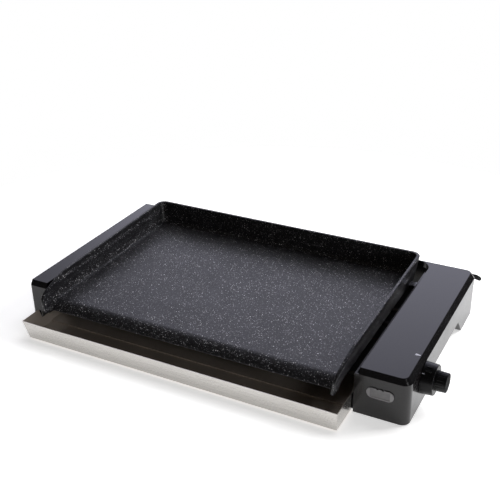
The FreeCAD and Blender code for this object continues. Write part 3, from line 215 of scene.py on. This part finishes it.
def granite_coating(name):
    """Black non-stick coating with pale flecks of several sizes and a slight orange-peel surface."""
    g = Graph(name, (0.006, 0.006, 0.007), 0.35, ior=1.45)
    cloud = g.remap(g.noise(30.0, detail=5.0), 0.3, 0.7)
    color = g.mix(cloud, (0.004, 0.004, 0.005), (0.009, 0.009, 0.011))
    raised = None
    for scale, radius, rare, tone in FLECKS:
        cell = g.cells(scale)
        ragged = g.remap(g.noise(scale * 2.3, detail=2.0), 0.3, 0.7, -0.1, 0.1)
        spread = g.math("ADD", cell.outputs["Distance"], ragged)
        pick = g.tree.nodes.new("ShaderNodeSeparateColor")
        g.link(cell.outputs["Color"], pick.inputs["Color"])
        here = g.remap(pick.outputs["Red"], rare, rare + 0.01)
        spot = g.math("MULTIPLY", g.remap(spread, radius, radius - 0.08), here)
        level = g.math("MULTIPLY", spot, g.remap(pick.outputs["Green"], 0.0, 1.0, 0.2, 1.0))
        color = g.mix(level, color, tone)
        raised = spot if raised is None else g.math("MAXIMUM", raised, spot)
    rough = g.math("ADD", g.remap(g.noise(45.0, detail=4.0), 0.3, 0.7, 0.31, 0.39),
                   g.remap(raised, 0.0, 1.0, 0.0, 0.1))
    g.bump(g.noise(520.0, detail=2.0), strength=0.3, distance=0.0001)
    g.bump(raised, strength=0.25, distance=0.00006)
    return g.finish(color, rough)


def woven(name, color, dark, scale):
    """Woven glass sleeve: crossing threads."""
    g = Graph(name, color, 0.8)
    over = g.tree.nodes.new("ShaderNodeTexWave")
    over.inputs["Scale"].default_value = scale
    over.inputs["Distortion"].default_value = 1.2
    g.link(g.stretched((1.0, 1.0, -1.0)), over.inputs["Vector"])
    g.bump(over.outputs["Fac"], strength=0.6, distance=0.0001)
    tone = g.mix(over.outputs["Fac"], dark, color)
    return g.finish(tone, g.remap(g.noise(300.0), 0.3, 0.7, 0.7, 0.9))


def fired_clay(name, color):
    """Unglazed ceramic: chalky, with a fine pitted surface."""
    g = Graph(name, color, 0.7)
    shade = tuple(c * 0.82 for c in color)
    tone = g.mix(g.remap(g.noise(260.0, detail=5.0), 0.35, 0.7), color, shade)
    g.bump(g.noise(1400.0, detail=2.0), strength=0.5, distance=0.00005)
    return g.finish(tone, g.remap(g.noise(90.0), 0.3, 0.7, 0.6, 0.82))


def clear_plastic(name, color, alpha, roughness, painted_window_light=False):
    """Tinted clear plastic; a window gets a painted highlight on its paler raised rim and painted shade
    behind its front.
    """
    g = Graph(name, color, roughness, ior=1.49)
    g.shader.inputs["Transmission Weight"].default_value = 1 - alpha
    tone = g.mix(g.remap(g.noise(220.0, detail=4.0), 0.35, 0.7), color, tuple(c * 0.86 for c in color))
    if painted_window_light:
        # painted highlight: the raised rim's front is paler; painted shade: the lens is near black behind
        # its front
        tone = g.mix(g.remap(g.along("Y"), *LENS_HIGHLIGHT_RIM, 1.0, 0.0), tone, (0.3, 0.29, 0.3))
        tone = g.mix(g.remap(g.along("Y"), *LENS_SHADE_BACK), tone, (0.004, 0.004, 0.004))
    g.bump(g.noise(700.0, detail=2.0), strength=0.2, distance=0.00003)
    return g.finish(tone, g.remap(g.noise(160.0), 0.3, 0.7, roughness * 0.7, roughness * 1.4))


def heated_sheath(name):
    """Heater tube: dark oxide with straw and blue heat tints and a fine drawn grain."""
    g = Graph(name, (0.09, 0.08, 0.075), 0.45, metallic=0.9)
    tint = g.mix(g.remap(g.noise(22.0, detail=4.0), 0.3, 0.7), (0.10, 0.085, 0.07), (0.055, 0.055, 0.065))
    g.bump(g.noise(1500.0, detail=2.0), strength=0.3, distance=0.00003)
    return g.finish(tint, g.remap(g.noise(60.0), 0.3, 0.7, 0.38, 0.55))


# where one piece changes its finish or carries painted light, start and end in metres: behind the tray's
# brushed front, at the tray's bright outer side, behind the lens's raised rim with its painted highlight,
# at the lens's back where painted shade starts, and at the grip's end
TRAY_FRONT, TRAY_SIDE = (-0.1886, -0.1884), (0.2142, 0.2146)
LENS_HIGHLIGHT_RIM, LENS_SHADE_BACK = (-0.1424, -0.1422), (-0.1413, -0.1411)
GRIP_END = (0.3264, 0.3267)
# cells per metre, fleck radius in cells, share of cells left empty, and colour
FLECKS = ((900.0, 0.32, 0.4, (0.06, 0.06, 0.065)), (660.0, 0.31, 0.5, (0.25, 0.25, 0.27)),
          (450.0, 0.27, 0.62, (0.66, 0.65, 0.69)), (290.0, 0.21, 0.73, (0.95, 0.94, 0.97)))
ALONG_X, ALONG_Y, ALONG_Z = (0.02, 1.0, 1.0), (1.0, 0.02, 1.0), (1.0, 1.0, 0.02)
MATERIALS = {
    "housing": moulded("housing_black", (0.006, 0.005, 0.0055), 0.2, ior=1.46, spread=0.04),
    "cover": moulded("cover_black", (0.004, 0.004, 0.005), 0.12, grain=3200.0, depth=0.000012, ior=1.5,
                     spread=0.03),
    "plate": granite_coating("plate_coating"),
    "tray": pan_steel("tray_steel"),
    "zinc": rolled("zinc_sheet", (0.58, 0.59, 0.6), 0.38, ALONG_X, scale=300.0, tint=0.2),
    "sheath": heated_sheath("element_sheath"),
    "clay": fired_clay("ceramic_white", (0.72, 0.70, 0.64)),
    "case": fired_clay("ceramic_case", (0.62, 0.6, 0.54)),
    "brass": rolled("brass_plain", (0.66, 0.47, 0.2), 0.3, ALONG_X, tint=0.2),
    # copper darkened to brown-black: painted shade on the thermostat bulb and capillary in the gap under
    # the plate
    "copper": rolled("copper_painted_shade", (0.16, 0.085, 0.06), 0.5, ALONG_X, tint=0.25),
    # dark steel for the plate locators: painted shade, as they sit in the shaded gap beside the plate
    "tab": rolled("locator_steel_painted_shade", (0.3, 0.3, 0.31), 0.2, ALONG_Y),
    "knob": moulded("knob_black", (0.0025, 0.0025, 0.003), 0.34, ior=1.3, matt_from=GRIP_END),
    "shaft": rolled("shaft_plated", (0.62, 0.62, 0.63), 0.25, ALONG_X),
    "lens": clear_plastic("lens_smoked", (0.20, 0.195, 0.2), 0.72, 0.18, painted_window_light=True),
    "white": moulded("plastic_white", (0.72, 0.71, 0.66), 0.45),
    "lamp": clear_plastic("lamp_glass", (0.12, 0.05, 0.03), 0.6, 0.06),
    "sleeve": woven("sleeve_woven", (0.70, 0.68, 0.6), (0.45, 0.43, 0.38), 700.0),
    "rubber": moulded("rubber_black", (0.008, 0.008, 0.008), 0.6, spread=0.08),
    "screw": rolled("screw_zinc", (0.5, 0.5, 0.51), 0.34, ALONG_Z, tint=0.25),
    "cord": moulded("cord_sheath", (0.003, 0.003, 0.0035), 0.8, grain=1600.0, ior=1.15, spread=0.06),
    "paint": moulded("mark_paint", (0.42, 0.42, 0.48), 0.5, grain=2600.0, depth=0.000006, spread=0.05),
    # near-black painted shade: the heat reflector, crossbars and cradles sit in the shaded gap under the
    # plate
    "painted_shade": moulded("painted_shade_black", (0.006, 0.006, 0.006), 0.3, grain=1200.0, depth=0.00001, spread=0.04),
}
NODE_MATERIALS = {
    "control_housing": "housing", "left_housing": "housing", "top_frame": "cover", "rear_panel": "housing",
    # the heat reflector, crossbars and element cradles take the near-black painted shade
    "front_crossbar": "painted_shade", "rear_crossbar": "painted_shade", "heat_reflector": "painted_shade",
    "heating_element": "sheath", "element_cradles": "painted_shade", "element_bushes": "clay",
    "element_terminals": "brass", "plate_supports": "zinc", "plate_locators": "tab",
    "griddle_plate": "plate", "drip_tray": "tray", "tray_rail_right": "zinc", "tray_rail_left": "zinc",
    "control_knob": "knob", "thermostat_bracket": "zinc", "thermostat_body": "case",
    "thermostat_shaft": "shaft", "knob_spring_clip": "zinc", "thermostat_bulb": "copper",
    "bulb_clip": "zinc", "capillary_tube": "copper", "indicator_lens": "lens", "lamp_holder": "white",
    "indicator_lamps": "lamp", "terminal_block": "white", "internal_wires": "sleeve", "earth_tag": "brass",
    "rubber_feet": "rubber", "frame_screws": "screw", "crossbar_screws": "screw",
    "strain_relief": "rubber", "plug_body": "cord", "plug_pins": "brass",
}
for name, key in NODE_MATERIALS.items():
    node = nodes[name]
    node.data.materials.clear()
    node.data.materials.append(MATERIALS[key])


# ---------------------------------------------------------------- marks and ribs
MARK_X, MARK_Y, COVER_TOP = (279.2, 286.6), -76.5, 72.0
MARK_WIDE, MARK_TAPER, MARK_ROUND = 2.9, 2.2, 0.25
KNOB_Y, KNOB_Z, SKIRT_RADIUS = -79.4, 41.5, 22.5
PATCH_COLUMNS, PATCH_ROWS, PATCH_SUNK, PATCH_DEPTH = 24, 14, 0.06, 0.3


def on_cover(u, v, lift):
    """A pointer lying on the cover: rounded at the left, tapering towards the knob."""
    half = MARK_WIDE - MARK_TAPER * u
    if u < MARK_ROUND:
        half *= 0.12 + 0.88 * math.sqrt(1 - (1 - u / MARK_ROUND) ** 2)
    left, right = MARK_X
    return (left + (right - left) * u, MARK_Y + half * (2 * v - 1), COVER_TOP + lift)


def on_skirt(start, length, angle, width):
    """A strip along the knob's skirt, at an angle in degrees from the top towards the front."""
    def place(u, v, lift):
        turn = math.radians(angle) + (0.5 - v) * width / SKIRT_RADIUS
        reach = SKIRT_RADIUS + lift
        return (start + length * u, KNOB_Y - reach * math.sin(turn), KNOB_Z + reach * math.cos(turn))
    return place


def raised_patch(name, place, height, material, body):
    """A closed patch that rises softly to its height in millimetres from just under its surface."""
    columns, rows = PATCH_COLUMNS, PATCH_ROWS
    top, bottom = [], []
    for i in range(columns + 1):
        for j in range(rows + 1):
            u, v = i / columns, j / rows
            rise = math.sqrt(max(0.0, (1 - (2 * u - 1) ** 12) * (1 - (2 * v - 1) ** 6)))
            lift = rise * (height + PATCH_SUNK) - PATCH_SUNK
            top.append(tuple(value * MM for value in place(u, v, lift)))
            bottom.append(tuple(value * MM for value in place(u, v, -PATCH_DEPTH)))
    step, below = rows + 1, len(top)
    points = top + bottom
    faces = [(k, k + step, k + step + 1, k + 1) for k in range(columns * step) if k % step < rows]
    faces += [tuple(k + below for k in reversed(face)) for face in faces]
    rim = [i * step for i in range(columns)] + [columns * step + j for j in range(rows)]
    rim += [i * step + rows for i in range(columns, 0, -1)] + list(range(rows, 0, -1))
    faces += [(b, a, a + below, b + below) for a, b in zip(rim, rim[1:] + rim[:1])]
    mesh = bpy.data.meshes.new(name)
    mesh.from_pydata(points, [], faces)
    mesh.polygons.foreach_set("use_smooth", [True] * len(faces))
    mesh.materials.append(MATERIALS[material])
    patch = bpy.data.objects.new(name, mesh)
    bpy.context.scene.collection.objects.link(patch)
    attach(patch, body)


upper_rib = on_skirt(start=298.0, length=9.0, angle=14.0, width=1.5)
lower_rib = on_skirt(start=298.0, length=9.0, angle=33.0, width=1.5)
tick = on_skirt(start=295.0, length=3.2, angle=44.0, width=1.1)
raised_patch("setting_pointer", on_cover, 0.06, "paint", "base")
raised_patch("skirt_rib_upper", upper_rib, 0.5, "cover", "knob")
raised_patch("skirt_rib_lower", lower_rib, 0.5, "cover", "knob")
raised_patch("dial_tick", tick, 0.04, "paint", "knob")


# ---------------------------------------------------------------- cord
CORD_RADIUS = 3.4 * MM
COIL_CENTRE = (110.0, 252.0)
LYING = 3.5  # height of the lead's middle when it lies on the table
# the lead's route in millimetres: from its exit to the coil, and from the coil to the plug
ROUTE = [(276, 210, 38), (276, 227.5, 38), (280.8, 243.6, 32.8), (285, 257.6, 22.6), (284.5, 271.9, 13.4),
         (277.5, 285.8, 6.9), (265.7, 296.8, 3.8), (250.2, 302.9, LYING), (230.2, 302.4, LYING),
         (211.2, 299.2, LYING), (190.4, 296.6, LYING), (169.4, 295.4, LYING), (148.4, 295.4, LYING),
         (128, 291.6, LYING)]
TAIL = [(78.5, 282.5, 17), (68, 274.5, 16.4), (56, 270.2, 17.5), (44, 270, 18.6)]
# where the turns lie: wound angle in degrees, radius and height in millimetres
WINDING = [(90, 40.6, 3.5), (465, 40.4, 3.5), (525, 33.6, 3.5), (765, 33.6, 3.5), (825, 33.6, 10.3),
           (1065, 33.6, 10.3), (1125, 40.4, 10.3), (1345, 40.4, 10.3), (1425, 33.6, 17.0),
           (1640, 33.6, 17.0), (1700, 40.4, 17.0), (1920, 40.4, 17.0)]
TURN_STEP = 24.0


def coil_points():
    """Points of the coil's turns; they stand off a little, because the spline passes inside them."""
    inside = 0.75 + 0.25 * math.cos(math.radians(TURN_STEP))
    points, angle = [], WINDING[0][0]
    while angle <= WINDING[-1][0]:
        for (a0, r0, z0), (a1, r1, z1) in zip(WINDING, WINDING[1:]):
            if a0 <= angle <= a1:
                share = (angle - a0) / (a1 - a0)
                share = share * share * (3 - 2 * share)
                radius, height = r0 + (r1 - r0) * share, z0 + (z1 - z0) * share
                break
        turn, reach = math.radians(angle), radius / inside
        points.append((COIL_CENTRE[0] + reach * math.cos(turn),
                       COIL_CENTRE[1] + reach * math.sin(turn), height))
        angle += TURN_STEP
    return points


def make_cord():
    points = ROUTE + coil_points() + TAIL
    data = bpy.data.curves.new("mains_lead", "CURVE")
    data.dimensions = "3D"
    data.bevel_depth = CORD_RADIUS
    data.bevel_resolution = 5
    data.resolution_u = 5
    data.use_fill_caps = True
    spline = data.splines.new("NURBS")
    spline.points.add(len(points) - 1)
    for item, (x, y, z) in zip(spline.points, points):
        item.co = (x * MM, y * MM, z * MM, 1)
    spline.order_u = 3
    spline.use_endpoint_u = True
    data.materials.append(MATERIALS["cord"])
    lead = bpy.data.objects.new("mains_lead", data)
    bpy.context.scene.collection.objects.link(lead)
    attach(lead, "base")
    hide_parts("mains_cord", "cord_coil", "mains_cord_tail")


make_cord()


# ---------------------------------------------------------------- stage and light
FLOOR_RADIUS, FLOOR_SIDES, FLOOR_LEVEL, FLOOR_GLOW = 0.8, 96, -0.0002, 0.55
ROOM_COLOR, BACKDROP_COLOR, SEEN_COLOR = (0.055, 0.05, 0.044), (1.5, 1.5, 1.8), (1.0, 1.0, 1.0)
# the backdrop's edges: axis of the direction, start and end of a soft ramp, and its values there
BACKDROP_RAMPS = (("Y", 0.3, 0.62, 0.0, 1.0), ("Z", 0.42, 0.8, 1.0, 0.25), ("X", 0.05, 0.4, 1.0, 0.0),
                  ("Z", 0.0, 0.1, 0.0, 1.0), ("X", -0.62, -0.5, 0.4, 1.0))
# name, place, target, width and height in metres, watts, and whether reflections show it
LIGHTS = (("overhead", (-0.1, 1.0, 2.0), (0, 0.1, 0), (1.8, 1.2), 20, False),
          ("floor_behind", (1.3, 1.1, 1.1), (0.5, 0.25, 0), (0.9, 0.9), 30, False),
          ("right_side", (1.94, -0.73, 0.48), (0.29, -0.137, 0.07), (0.3, 0.3), 7, True))


def make_stage():
    turns = [2 * math.pi * i / FLOOR_SIDES for i in range(FLOOR_SIDES)]
    rim = [(FLOOR_RADIUS * math.cos(turn), FLOOR_RADIUS * math.sin(turn), 0) for turn in turns]
    mesh = bpy.data.meshes.new("floor")
    mesh.from_pydata(rim, [], [tuple(range(FLOOR_SIDES))])
    floor = bpy.data.objects.new("floor", mesh)
    bpy.context.scene.collection.objects.link(floor)
    floor.location.z = FLOOR_LEVEL
    g = Graph("floor_pale", (0.92, 0.92, 0.92), 0.9)
    g.shader.inputs["Specular IOR Level"].default_value = 0.0
    g.shader.inputs["Emission Color"].default_value = (1, 1, 1, 1)
    g.shader.inputs["Emission Strength"].default_value = FLOOR_GLOW
    mesh.materials.append(g.finish())


def make_world():
    """White to the camera; to the object a bright backdrop behind and to the left in a dark room."""
    world = bpy.data.worlds.new("studio")
    world.use_nodes = True
    bpy.context.scene.world = world
    g = Nodes(world.node_tree, "Generated")
    behind = 1.0
    for axis, *ramp in BACKDROP_RAMPS:
        behind = g.math("MULTIPLY", behind, g.remap(g.along(axis), *ramp, smooth=True))
    seen = g.tree.nodes.new("ShaderNodeLightPath").outputs["Is Camera Ray"]
    color = g.mix(seen, g.mix(behind, ROOM_COLOR, BACKDROP_COLOR), SEEN_COLOR)
    sky = g.tree.nodes["Background"]
    g.link(color, sky.inputs["Color"])
    sky.inputs["Strength"].default_value = 1.0


def make_lights():
    for name, place, target, size, power, in_reflections in LIGHTS:
        data = bpy.data.lights.new(name, "AREA")
        data.shape = "RECTANGLE"
        data.size, data.size_y = size
        data.energy = power
        light = bpy.data.objects.new(name, data)
        light.location = place
        light.rotation_euler = (Vector(target) - Vector(place)).to_track_quat("-Z", "Y").to_euler()
        light.visible_glossy = in_reflections
        bpy.context.scene.collection.objects.link(light)


bpy.context.scene.view_settings.view_transform = "Standard"
make_stage()
make_world()
make_lights()
